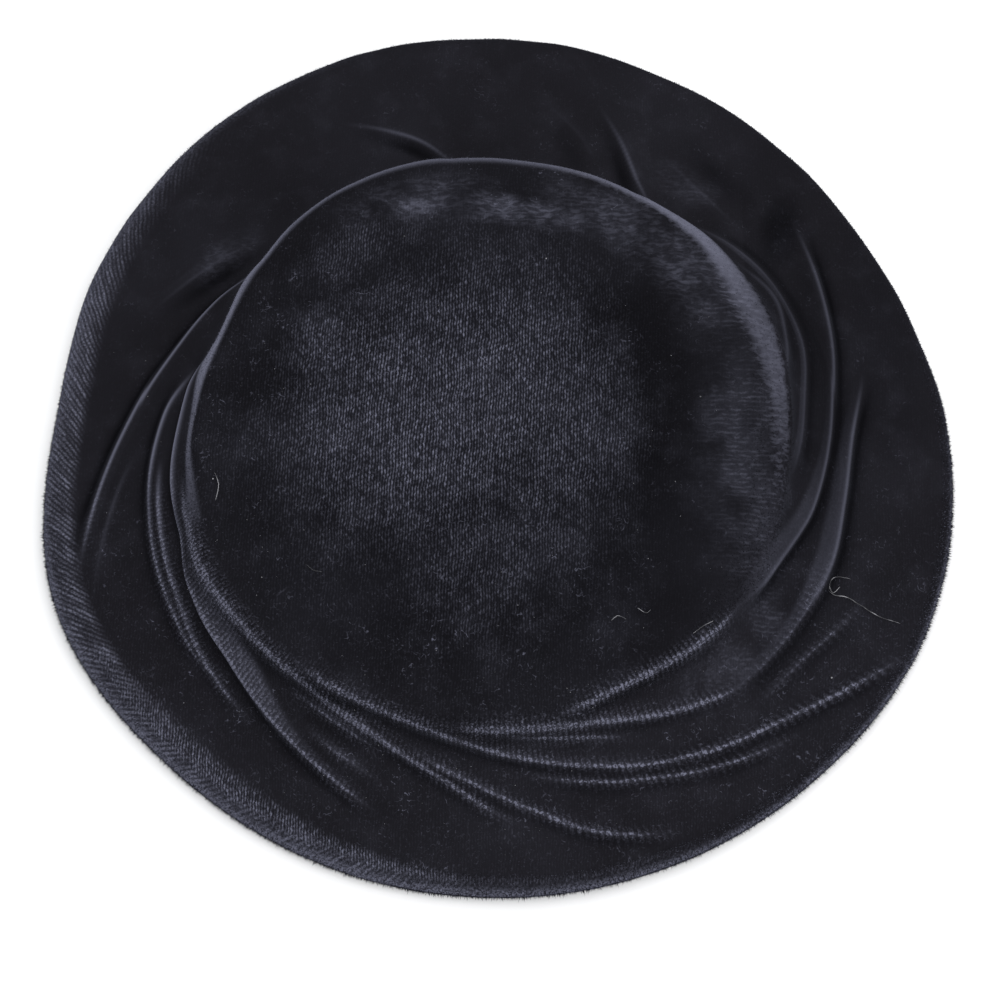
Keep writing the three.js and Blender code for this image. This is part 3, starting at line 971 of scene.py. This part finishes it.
@dataclass(frozen=True)
class Lint:
    """Fibres and crumbs that cling to the pile."""

    name: str = "lint"
    lift: float = 0.45
    bounce: float = 0.25
    bounces: float = 19.0
    steps: int = 28
    sides: int = 5
    crumbs: int = 420
    crumb_width: float = 0.30
    spread: float = 128.0
    far_limit: float = 40.0
    right_limit: float = 70.0
    seed: int = 7

    def tube(self, fibre: Fibre) -> tuple[Array, Array]:
        """A closed tube along a fibre, tapered to a point at both ends.

        Args:
            fibre: the fibre's route and thickness.

        Returns:
            Its points, and its triangles as point numbers.
        """
        knots = np.linspace(0, 1, len(fibre.xs))
        along = np.linspace(0, 1, self.steps)
        x = smooth_curve(knots, fibre.xs, along)
        y = smooth_curve(knots, fibre.ys, along)
        lift = self.lift + self.bounce * np.sin(along * self.bounces) ** 2
        path = FORM.above(x, y, lift)
        run = np.gradient(path, axis=0)
        run /= np.linalg.norm(run, axis=1, keepdims=True)
        aside = np.cross(run, [0.0, 0.0, 1.0])
        aside /= np.linalg.norm(aside, axis=1, keepdims=True)
        over = np.cross(aside, run)
        turn = 2 * np.pi * np.arange(self.sides) / self.sides
        radius = fibre.thickness / 2 * (0.25 + 0.75 * np.sin(np.pi * along) ** 0.4)
        ring = aside[:, None] * np.cos(turn)[None, :, None] + over[:, None] * np.sin(turn)[None, :, None]
        points = (path[:, None] + ring * radius[:, None, None]).reshape(-1, 3)
        points = np.concatenate([points, path[[0, -1]]])
        squares = grid_faces(self.steps, self.sides, ring=False)
        walls = np.concatenate([squares[:, [0, 1, 2]], squares[:, [0, 2, 3]]])
        side = np.arange(self.sides)
        after = (side + 1) % self.sides
        start, end = len(points) - 2, len(points) - 1
        last = (self.steps - 1) * self.sides
        near_cap = np.stack([np.full(self.sides, start), side, after], axis=1)
        far_cap = np.stack([np.full(self.sides, end), last + after, last + side], axis=1)
        return points, np.concatenate([walls, near_cap, far_cap])

    def crumb_shapes(self) -> tuple[Array, Array]:
        """Eight-sided crumbs: those of SPECKS, and small ones strewn over the tip and the near brim.

        Returns:
            Their points, and their triangles as point numbers.
        """
        draws = np.random.default_rng(self.seed)
        spread = np.sqrt(draws.uniform(0, 1, self.crumbs)) * self.spread
        turn = draws.uniform(0, 2 * np.pi, self.crumbs)
        strewn_x = FORM.centre_x + spread * np.cos(turn)
        strewn_y = FORM.centre_y + spread * np.sin(turn)
        kept = (strewn_y < self.far_limit) & (strewn_x < self.right_limit)
        x = np.append([speck.x for speck in SPECKS], strewn_x[kept])
        y = np.append([speck.y for speck in SPECKS], strewn_y[kept])
        small = self.crumb_width * draws.uniform(0.5, 1.3, self.crumbs)[kept]
        width = np.append([speck.width for speck in SPECKS], small)
        corners = np.array([[1, 0, 0], [0, 1, 0], [-1, 0, 0], [0, -1, 0], [0, 0, 1], [0, 0, -1]], float)
        stretch = draws.uniform(0.6, 1.0, (len(x), 6, 1))
        middle = FORM.above(x, y, np.full(len(x), self.lift))
        points = middle[:, None] + corners[None] * stretch * (width / 2)[:, None, None]
        ring = [[0, 1], [1, 2], [2, 3], [3, 0]]
        faces = np.array([[a, b, 4] for a, b in ring] + [[b, a, 5] for a, b in ring])
        first = 6 * np.arange(len(x))[:, None, None]
        return points.reshape(-1, 3), (first + faces[None]).reshape(-1, 3)

    def build(self) -> bpy.types.Object:
        """Puts all fibres and crumbs into one mesh.

        Returns:
            The piece.
        """
        shapes = [self.tube(fibre) for fibre in FIBRES] + [self.crumb_shapes()]
        counts = np.cumsum([0] + [len(points) for points, _ in shapes])
        faces = [faces + start for (_, faces), start in zip(shapes, counts)]
        return mesh_piece(
            self.name, np.concatenate([points for points, _ in shapes]), np.concatenate(faces).tolist(), {}
        )


Term = Union["Sum", float, int]
Colour = Union[tuple, bpy.types.NodeSocket]


class Sum:
    """A link inside a material, on which Python's own signs add Math nodes."""

    def __init__(self, bench: "Bench", output: bpy.types.NodeSocket) -> None:
        """Keeps the link and the bench that makes its nodes."""
        self.bench = bench
        self.output = output

    def math(self, operation: str, *terms: Term) -> "Sum":
        """Adds one Math node on the terms given."""
        node = self.bench.node("ShaderNodeMath", {"operation": operation}, dict(enumerate(terms)))
        return Sum(self.bench, node.outputs[0])

    def __add__(self, other: Term) -> "Sum":
        """self + other."""
        return self.math("ADD", self, other)

    __radd__ = __add__

    def __sub__(self, other: Term) -> "Sum":
        """self - other."""
        return self.math("SUBTRACT", self, other)

    def __rsub__(self, other: Term) -> "Sum":
        """other - self."""
        return self.math("SUBTRACT", other, self)

    def __mul__(self, other: Term) -> "Sum":
        """self * other."""
        return self.math("MULTIPLY", self, other)

    __rmul__ = __mul__

    def __truediv__(self, other: Term) -> "Sum":
        """self / other."""
        return self.math("DIVIDE", self, other)

    def floor(self) -> "Sum":
        """The whole number below."""
        return self.math("FLOOR", self)

    def sine(self) -> "Sum":
        """The sine of an angle in radians."""
        return self.math("SINE", self)

    def at_least(self, other: Term) -> "Sum":
        """The larger of the two."""
        return self.math("MAXIMUM", self, other)

    def step(self, low: float, high: float) -> "Sum":
        """Rises smoothly from 0 at low to 1 at high.

        Args:
            low, high: where the rise starts and ends.

        Returns:
            The rise.
        """
        node = self.bench.node(
            "ShaderNodeMapRange",
            {"interpolation_type": "SMOOTHSTEP"},
            {"Value": self, "From Min": low, "From Max": high},
        )
        return Sum(self.bench, node.outputs[0])

    def wave(self) -> "Sum":
        """A soft stripe from 0 to 1 and back for each whole number: (1 - cos(2 pi s)) / 2."""
        return 0.5 - 0.5 * (self * (2 * np.pi) + np.pi / 2).sine()


class Bench:
    """Makes the nodes of one material."""

    def __init__(self, name: str) -> None:
        """Starts an empty material.

        Args:
            name: the material's name.
        """
        self.material = bpy.data.materials.new(name)
        self.material.use_nodes = True
        self.tree = self.material.node_tree
        self.tree.nodes.clear()

    def node(self, kind: str, settings: dict[str, object], inputs: dict) -> bpy.types.Node:
        """Adds any node.

        Args:
            kind: the node's type.
            settings: its settings, which are set first.
            inputs: values or links for its sockets, by name or number.

        Returns:
            The node.
        """
        node = self.tree.nodes.new(kind)
        for setting, value in settings.items():
            setattr(node, setting, value)
        for socket, value in inputs.items():
            if isinstance(value, Sum):
                self.tree.links.new(value.output, node.inputs[socket])
            elif isinstance(value, bpy.types.NodeSocket):
                self.tree.links.new(value, node.inputs[socket])
            else:
                node.inputs[socket].default_value = value
        return node

    def mark(self, name: str) -> Sum:
        """A value that the mesh carries at its points."""
        node = self.node("ShaderNodeAttribute", {"attribute_name": name}, {})
        return Sum(self, node.outputs["Fac"])

    def place(self) -> tuple[Sum, Sum, Sum]:
        """x, y and z of the point, in millimetres.

        Returns:
            The three coordinates.
        """
        coordinates = self.node("ShaderNodeTexCoord", {}, {})
        apart = self.node("ShaderNodeSeparateXYZ", {}, {0: coordinates.outputs["Object"]})
        return tuple(Sum(self, output) * (1 / MM) for output in apart.outputs)

    def point(self, x: Term, y: Term, z: Term) -> bpy.types.NodeSocket:
        """Puts three values together as a place."""
        return self.node("ShaderNodeCombineXYZ", {}, {0: x, 1: y, 2: z}).outputs[0]

    def noise(self, place: bpy.types.NodeSocket, size: float, detail: float = 2.0) -> Sum:
        """Cloudy noise about 0.5 whose clouds are about size across.

        Args:
            place: where the noise is read.
            size: the clouds' width.
            detail: how many finer layers it has.

        Returns:
            The noise.
        """
        node = self.node(
            "ShaderNodeTexNoise", {}, {"Vector": place, "Scale": 1 / size, "Detail": detail}
        )
        return Sum(self, node.outputs["Fac"])

    def chance(self, x: Term, y: Term) -> Sum:
        """A chance value from 0 to 1 for each pair of whole numbers.

        Args:
            x, y: the two numbers.

        Returns:
            The chance value.
        """
        place = self.point(x, y, 0.0)
        node = self.node("ShaderNodeTexWhiteNoise", {"noise_dimensions": "2D"}, {"Vector": place})
        return Sum(self, node.outputs["Value"])

    def blend(self, factor: Term, first: Colour, second: Colour) -> bpy.types.NodeSocket:
        """A colour between two.

        Args:
            factor: the second colour's share.
            first: colour at 0.
            second: colour at 1.

        Returns:
            The colour.
        """
        node = self.node(
            "ShaderNodeMix", {"data_type": "RGBA", "clamp_factor": True}, {0: factor, 6: first, 7: second}
        )
        return node.outputs[2]

    def finish(self, inputs: dict) -> bpy.types.Material:
        """Adds the shader with the inputs given and sends it to the material's output.

        Args:
            inputs: values or links for the shader's sockets.

        Returns:
            The finished material.
        """
        shader = self.node("ShaderNodeBsdfPrincipled", {}, inputs)
        self.node("ShaderNodeOutputMaterial", {}, {"Surface": shader.outputs[0]})
        return self.material


class Dots(NamedTuple):
    """A cover of short tufts in rows: their shape from 0 to 1, and a chance value for each tuft."""

    shape: Sum
    chance: Sum


@dataclass(frozen=True)
class Velvet:
    """Silk velvet: dark standing pile, light where it opens, lies over or wears off, with painted highlights
    and shade.
    """

    name: str = "navy_black_velvet"
    # the darkest pile, the colour that painted shade goes to
    deep: tuple = (0.0030, 0.0029, 0.0036, 1)
    pile: tuple = (0.0086, 0.0082, 0.0102, 1)
    # worn and open pile, and the colour that painted highlights go to
    opened_and_lit: tuple = (0.120, 0.123, 0.165, 1)
    sheen: float = 0.06
    sheen_roughness: float = 0.35
    sheen_tint: tuple = (0.42, 0.45, 0.58, 1)
    weave_pitch: float = 0.91
    weave_length: float = 1.85
    weave_shift: float = 0.272
    weave_slant: float = 0.05
    stroke_count: int = 420
    stroke_pitch: float = 1.8
    stroke_length: float = 3.4
    row_pitch: float = 1.5
    rib_count: int = 365
    rib_swing: float = 95.0
    rib_close: float = 195.0
    tuft_pitch: float = 0.95
    curl_size: float = 2.0
    bump_height: float = 0.00022
    worn_light: float = 0.71
    brushed_light: float = 0.75
    rim_light: float = 0.86
    crest_light: float = 0.95
    grid_light: float = 1.1
    fringe_light: float = 0.88
    curl_light: float = 0.55

    def weave(self, bench: Bench, x: Sum, y: Sum) -> Dots:
        """Short upright tufts in columns, each column set a quarter of a tuft off the next, as in a twill.

        Args:
            bench: where the nodes are made.
            x, y: the place, in millimetres.

        Returns:
            The tufts.
        """
        across = (x - self.weave_slant * y) / self.weave_pitch
        column = across.floor()
        along = y / self.weave_length - column * self.weave_shift + bench.chance(column, 7.0) * 0.25
        shape = across.wave().step(0.1, 1.0) * (0.38 + 0.62 * along.wave())
        return Dots(shape, bench.chance(column, along.floor()))

    def polar(self, x: Sum, y: Sum) -> tuple[Sum, Sum]:
        """The angle about the crown's centre, in radians, and the distance from it.

        Args:
            x, y: the place, in millimetres.

        Returns:
            The angle and the distance.
        """
        off_x, off_y = x - FORM.centre_x, y - FORM.centre_y
        square = off_x * off_x + off_y * off_y
        return off_y.math("ARCTAN2", off_y, off_x), square.math("SQRT", square)

    def ribs(self, bench: Bench, x: Sum, y: Sum) -> Dots:
        """Ribs that run straight out from the crown's centre, closer together on the left, cut into tufts.

        Args:
            bench: where the nodes are made.
            x, y: the place, in millimetres.

        Returns:
            The tufts.
        """
        turn, reach = self.polar(x, y)
        swing = self.rib_swing / (2 * np.pi)
        count = turn * (self.rib_count / (2 * np.pi)) + swing * (turn - np.radians(self.rib_close)).sine()
        rib = count.floor()
        along = reach / self.tuft_pitch + bench.chance(rib, 5.0)
        return Dots(count.wave(), bench.chance(rib, along.floor()))

    def strokes(self, bench: Bench, x: Sum, y: Sum) -> Dots:
        """Strokes of laid pile that wind slantwise over the turned edge, some 40 degrees off its line.

        Args:
            bench: where the nodes are made.
            x, y: the place, in millimetres.

        Returns:
            The strokes.
        """
        turn, reach = self.polar(x, y)
        across = turn / (2 * np.pi) * self.stroke_count + reach / self.stroke_pitch
        stroke = across.floor()
        along = reach / self.stroke_length + bench.chance(stroke, 11.0)
        return Dots(across.wave(), bench.chance(stroke, along.floor()))

    def curls(self, bench: Bench, here: bpy.types.NodeSocket, cloud: Sum) -> Sum:
        """Fine curled fibres matted into the pile: pieces of the line on which a noise crosses 0.5.

        Args:
            bench: where the nodes are made.
            here: the place as a vector.
            cloud: slow noise that thins the fibres out.

        Returns:
            How strongly a fibre shows, from 0 to about 1.
        """
        noise = bench.noise(here, self.curl_size, 1.0) - 0.5
        line = 1 - (noise * noise).step(0.0, 0.0011)
        pieces = bench.noise(here, 1.3, 1.0).step(0.50, 0.66)
        clumps = bench.noise(here, 6.0, 1.0).step(0.50, 0.70)
        return line * pieces * (0.25 + clumps) * cloud.step(0.3, 0.7)

    def material(self) -> bpy.types.Material:
        """Makes the material from the marks that the covering carries.

        Returns:
            The material.
        """
        bench = Bench(self.name)
        x, y, z = bench.place()
        here = bench.point(x, y, z)
        grain = bench.noise(here, 0.8, 2.0)
        speckle = bench.noise(here, 0.62, 1.0)
        cluster = bench.noise(bench.point(x + 0.4 * y, y / 1.8, z), 1.1, 1.0).step(0.35, 0.65)
        cloud = bench.noise(here, 11.0, 3.0)
        broad = bench.noise(here, 38.0, 2.0)
        wander = bench.noise(here, 9.0, 1.0)
        bent_x = x + (wander - 0.5) * 1.6 + (grain - 0.5) * 0.9
        bent_y = y + (cloud - 0.5) * 1.6 + (speckle - 0.5) * 0.9
        dash = bench.noise(bench.point(x / 2.6, y + (cloud - 0.5) * 5, z), 1.1, 2.0).step(0.4, 0.68)
        rows = (0.5 + 0.5 * x.step(50.0, 75.0) * ((bent_y / self.row_pitch).wave() - 1)) * dash
        crest, halo, band, shade, laid, fringe, deep, rim, ribbed, faint = (
            bench.mark(name)
            for name in "crest halo band shade laid fringe deep rim ribbed flecked".split()
        )
        ragged = x.step(10.0, 50.0) * (1 - rim) * (0.6 - dash).at_least(0.0)
        rim = (rim - 0.3 * ragged).at_least(0.0)
        worn = (bench.mark("worn") + (cloud - 0.5) * 0.5 + (broad - 0.5) * 0.4).step(0.03, 1.1)
        # pile lying over, under a painted highlight
        brushed_and_sheen = bench.mark("brushed_and_sheen") * cloud.step(0.2, 0.65)
        curls = self.curls(bench, here, cloud)
        weave = self.weave(bench, bent_x, bent_y)
        strokes = self.strokes(bench, x + (wander - 0.5) * 1.6 + (grain - 0.5) * 0.5, y)
        ribs = self.ribs(bench, x + (grain - 0.5) * 2.2, y + (speckle - 0.5) * 2.2)
        fleck = speckle.step(0.64, 0.86)
        rough = speckle.step(0.38, 0.68)
        weave_light = weave.shape * (0.08 + 0.9 * weave.chance * weave.chance + 1.1 * cluster * grain)
        rope = (crest * (0.5 + grain)).step(0.12, 0.8)
        tufts = ribs.shape.step(0.0, 0.7) * speckle.step(0.40, 0.58) * (0.3 + 1.3 * ribs.chance)
        comb = halo * ribs.shape.step(0.1, 0.9) * (0.14 + 0.66 * rough) * (0.3 + 0.7 * ribs.chance)
        crest_light = crest * (1 - 0.85 * ribbed) + ribbed * (rope * (0.05 + 1.15 * tufts) + comb)
        stroke_light = (0.1 + 0.9 * strokes.shape) * (0.3 + 0.7 * strokes.chance) * (0.45 + 1.15 * rough)
        grid = (bench.mark("grid") + (cloud - 0.5) * 0.6).at_least(0.0) * bench.mark("grid").step(0.0, 0.3)
        band_rib = ribbed * (band - 0.3).at_least(0.0)
        # each line is a mark times how light the pile shows there, from wear, lint and pile lying over as
        # well as from painted highlights: a floor, and the share of a pattern
        lighter_pile_and_highlight = (
            0.008 * grain + 0.07 * (broad - 0.4).at_least(0.0) + 0.10 * (cloud - 0.5).at_least(0.0)
            + faint * (0.035 * weave_light + 0.20 * fleck + self.curl_light * curls)
            + worn * (0.03 + self.worn_light * weave_light)
            + brushed_and_sheen * (0.06 + 0.20 * grain + self.brushed_light * rows)
            # painted highlights along the crown's edge, on the fold crests and their halo, and over the
            # folds' gentle sides
            + rim * (self.rim_light + 0.16 * rows)
            + crest_light * self.crest_light
            + halo * (0.15 + ribbed) * fleck * 0.6
            + band * (0.10 + 0.14 * grain) + band_rib * ribs.shape.step(0.1, 0.9) * (0.2 + 0.6 * rough)
            # the left turned edge: pile lying slantwise under a painted sheen
            + laid * (0.02 + (0.3 + 0.9 * cloud) * stroke_light)
            + grid * (0.01 + self.grid_light * weave_light)
            + fringe * (0.16 + self.fringe_light * grain.step(0.35, 0.65))
        )
        # painted shade beside the folds' steep sides, lighter on the near side, and the patches of painted
        # shade
        shade = shade * (1 - 0.45 * ribbed)
        lighter_pile_and_highlight = lighter_pile_and_highlight * (1 - 0.6 * shade)
        pile_with_shade = bench.blend(deep + shade, self.pile, self.deep)
        colour = bench.blend(lighter_pile_and_highlight, pile_with_shade, self.opened_and_lit)
        height = (
            0.4 * grain + (worn + grid) * weave.shape * 0.5 + crest * ribbed * ribs.shape
            + laid * strokes.shape * 0.8 + brushed_and_sheen * rows
        )
        bump = bench.node(
            "ShaderNodeBump", {}, {"Strength": 0.6, "Distance": self.bump_height, "Height": height}
        )
        return bench.finish({
            "Base Color": colour,
            "Roughness": 0.85,
            "Specular IOR Level": 0.0,
            "Sheen Weight": self.sheen,
            "Sheen Roughness": self.sheen_roughness,
            "Sheen Tint": self.sheen_tint,
            "Normal": bump.outputs[0],
        })


@dataclass(frozen=True)
class PaleFibre:
    """Off-white lint."""

    name: str = "pale_fibre"
    colour: tuple = (0.30, 0.30, 0.32, 1)
    dull: tuple = (0.03, 0.03, 0.034, 1)

    def material(self) -> bpy.types.Material:
        """Makes a dull white that is greyer in places.

        Returns:
            The material.
        """
        bench = Bench(self.name)
        x, y, z = bench.place()
        patchy = bench.noise(bench.point(x, y, z), 3.5, 1.0).step(0.35, 0.65)
        return bench.finish({"Base Color": bench.blend(patchy, self.dull, self.colour), "Roughness": 0.8})


@dataclass(frozen=True)
class PlainPaper:
    """The pale floor."""

    name: str = "pale_paper"
    colour: tuple = (0.92, 0.92, 0.92, 1)

    def material(self) -> bpy.types.Material:
        """Makes an even matt material with a trace of mottling.

        Returns:
            The material.
        """
        bench = Bench(self.name)
        x, y, z = bench.place()
        cloud = bench.noise(bench.point(x, y, z), 180.0)
        pale = tuple(0.98 * part for part in self.colour[:3]) + (1,)
        colour = bench.blend(cloud, self.colour, pale)
        return bench.finish({"Base Color": colour, "Roughness": 0.9, "Specular IOR Level": 0.1})


class Lamp(NamedTuple):
    """A soft square lamp aimed at the hat: where it stands, its width and its power in watts."""

    name: str
    azimuth: float
    elevation: float
    distance: float
    width: float
    power: float


LAMPS = (
    Lamp("window_right", 60, 35, 1.6, 1.2, 10),
    Lamp("window_back", 170, 40, 1.8, 1.6, 10),
    Lamp("ceiling", 0, 88, 2.0, 2.0, 18),
)


@dataclass(frozen=True)
class Studio:
    """The floor, the light and the camera at the photograph's angle."""

    floor_half: float = 4.0
    world_strength: float = 0.75
    look_at: tuple = (0.0004, -0.0203, 0.008)
    elevation: float = 70.0
    distance: float = 0.9
    lens: float = 101.8
    sensor: float = 36.0

    def floor(self) -> bpy.types.Object:
        """Lays the pale floor under the hem.

        Returns:
            The floor.
        """
        half = self.floor_half / MM
        sheet = half * np.array([[-1, -1, 0], [1, -1, 0], [1, 1, 0], [-1, 1, 0]], float)
        piece = mesh_piece("floor", sheet, [[0, 1, 2, 3]], {})
        piece.data.materials.append(PlainPaper().material())
        return piece

    def world(self) -> None:
        """Surrounds everything with an even pale light."""
        world = bpy.data.worlds.new("pale_room")
        world.use_nodes = True
        background = world.node_tree.nodes["Background"]
        background.inputs["Color"].default_value = (0.97, 0.98, 1.0, 1)
        background.inputs["Strength"].default_value = self.world_strength
        bpy.context.scene.world = world

    def aimed(self, thing: bpy.types.Object, azimuth: float, elevation: float, distance: float) -> None:
        """Stands a lamp or camera at an azimuth from the near side, looking at the hat.

        Args:
            thing: the lamp or camera.
            azimuth: degrees round from the near side.
            elevation: degrees above the table.
            distance: metres from the hat.
        """
        turn, rise = np.radians(azimuth), np.radians(elevation)
        away = Vector((np.sin(turn) * np.cos(rise), -np.cos(turn) * np.cos(rise), np.sin(rise)))
        target = Vector(self.look_at)
        thing.location = target + away * distance
        thing.rotation_euler = away.to_track_quat("Z", "Y").to_euler()
        bpy.context.scene.collection.objects.link(thing)

    def lamps(self) -> None:
        """Hangs the soft lamps."""
        for lamp in LAMPS:
            light = bpy.data.lights.new(lamp.name, "AREA")
            light.size = lamp.width
            light.energy = lamp.power
            thing = bpy.data.objects.new(lamp.name, light)
            self.aimed(thing, lamp.azimuth, lamp.elevation, lamp.distance)

    def camera(self) -> None:
        """Sets the camera at the photograph's viewing angle."""
        data = bpy.data.cameras.new("camera")
        data.lens = self.lens
        data.sensor_width = self.sensor
        thing = bpy.data.objects.new("camera", data)
        self.aimed(thing, 0, self.elevation, self.distance)
        bpy.context.scene.camera = thing

    def build(self) -> None:
        """Sets the whole stage."""
        bpy.context.scene.view_settings.view_transform = "Standard"
        self.floor()
        self.world()
        self.lamps()
        self.camera()


def corners(box: tuple) -> list[list[float]]:
    """A box's two corners as plain lists of numbers."""
    return [[float(part) for part in corner] for corner in box]


def dress(piece: bpy.types.Object, material: bpy.types.Material, stands_for: str = "") -> None:
    """Gives a piece its finish and its place in the frame.

    Args:
        piece: the new piece.
        material: its finish.
        stands_for: the solid that it replaces, or nothing.
    """
    piece.data.materials.append(material)
    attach(piece, BODY)
    if stands_for:
        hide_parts(stands_for)
    piece.data.calc_loop_triangles()
    LOG.info("%s: %d triangles", piece.name, len(piece.data.loop_triangles))


def main() -> None:
    """Builds the stage and the hat's pieces in order."""
    logging.basicConfig(level=logging.INFO, format="%(name)s: %(message)s")
    Studio().build()
    velvet = Velvet().material()
    dress(CrownCover().build(), velvet, "crown")
    dress(BrimCover().build(), velvet, "brim")
    for tufts in EDGE_TUFTS:
        dress(tufts.build(), velvet)
    dress(Lint().build(), PaleFibre().material())


if __name__ == "__main__":
    main()
